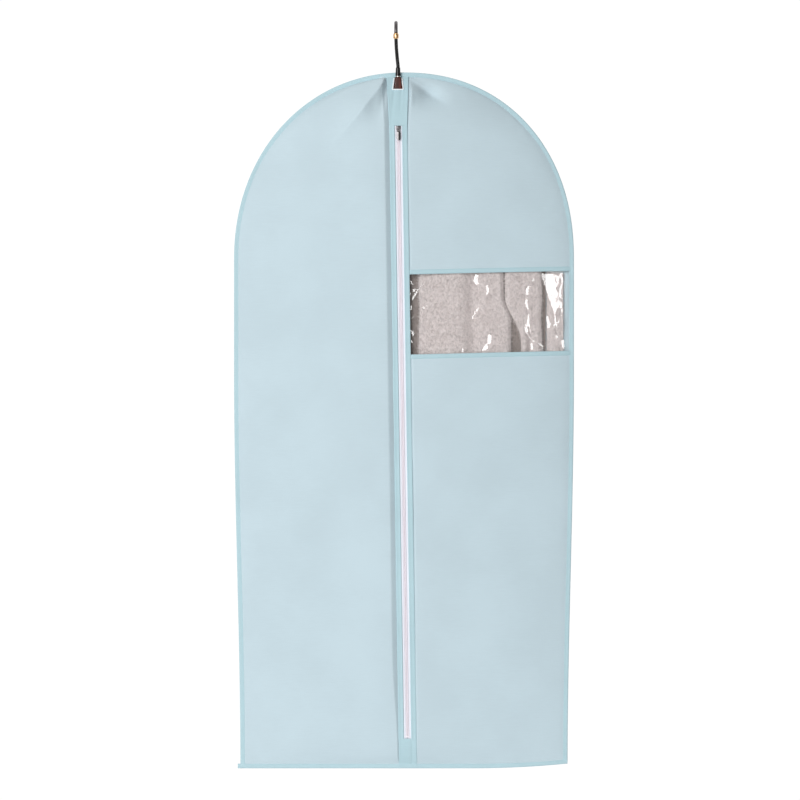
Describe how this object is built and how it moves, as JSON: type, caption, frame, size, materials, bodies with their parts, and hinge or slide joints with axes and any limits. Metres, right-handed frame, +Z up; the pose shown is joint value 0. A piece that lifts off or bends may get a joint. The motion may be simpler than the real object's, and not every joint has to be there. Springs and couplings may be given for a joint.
{
  "type": "garment bag",
  "caption": "Long domed cloth garment bag with a centre front zip, a clear window and bound edges, on a wooden hanger with a swivel hook, holding a coat.",
  "frame": {"origin": "the hook's seat, at the middle of the underside of its crown, where a rail carries the hanger", "axes": "+Z up, the bag's front faces -Y, +X to the viewer's right of the front"},
  "size_m": [0.586, 0.0538, 1.288],
  "materials": {
    "cloth": "matt pale blue woven cloth",
    "binding": "matt pale teal binding tape",
    "film": "clear glossy film",
    "zip_tape": "white woven tape",
    "zip_nylon": "white nylon",
    "gunmetal": "dark polished metal",
    "nickel": "bright nickel plate",
    "black_metal": "black satin",
    "gold_metal": "satin gold",
    "mahogany": "glossy red-brown lacquer",
    "wool": "fluffy greige pile"
  },
  "bodies": {
    "hook": {"hook_wire": "black_metal", "hook_ferrule": "black_metal", "hook_tip_cap": "gold_metal", "hook_retainer": "nickel"},
    "bag": {"back_panel": "cloth", "left_front_panel": "cloth", "right_front_upper_panel": "cloth", "right_front_lower_panel": "cloth", "placket_left": "cloth", "placket_right": "cloth", "placket_top": "cloth", "placket_bottom": "cloth", "window_top_band": "binding", "window_bottom_band": "binding", "window_film": "film", "edge_binding": "binding", "bottom_binding": "binding", "hanger_slot_trim": "binding", "zip_tape_left": "zip_tape", "zip_tape_right": "zip_tape", "zip_coil_left": "zip_nylon", "zip_coil_right": "zip_nylon", "zip_top_stop_left": "nickel", "zip_top_stop_right": "nickel", "zip_bottom_stop": "zip_nylon", "hanger_body": "mahogany", "hanger_washer": "nickel", "coat_front": "wool", "coat_back": "wool", "coat_sleeve_left": "wool", "coat_sleeve_right": "wool"},
    "zip_slider": {"zip_slider_body": "gunmetal", "zip_slider_bridge": "gunmetal"},
    "zip_pull": {"zip_pull_tab": "gunmetal"}
  },
  "joints": [
    {"name": "hook_swivel", "type": "hinge", "parent": "hook", "child": "bag", "pos_m": [0.0035, 0, -0.09], "axis": [0, 0, 1], "continuous": true},
    {"name": "zip_slide", "type": "slide", "parent": "bag", "child": "zip_slider", "axis": [0.0152, 0.0152, -0.9998], "range_m": [0, 1.036]},
    {"name": "pull_flip", "type": "hinge", "parent": "zip_slider", "child": "zip_pull", "pos_m": [0.00398, -0.02862, -0.18104], "axis": [-0.9999, 0.0002, -0.0152], "range_deg": [0, 170]}
  ]
}
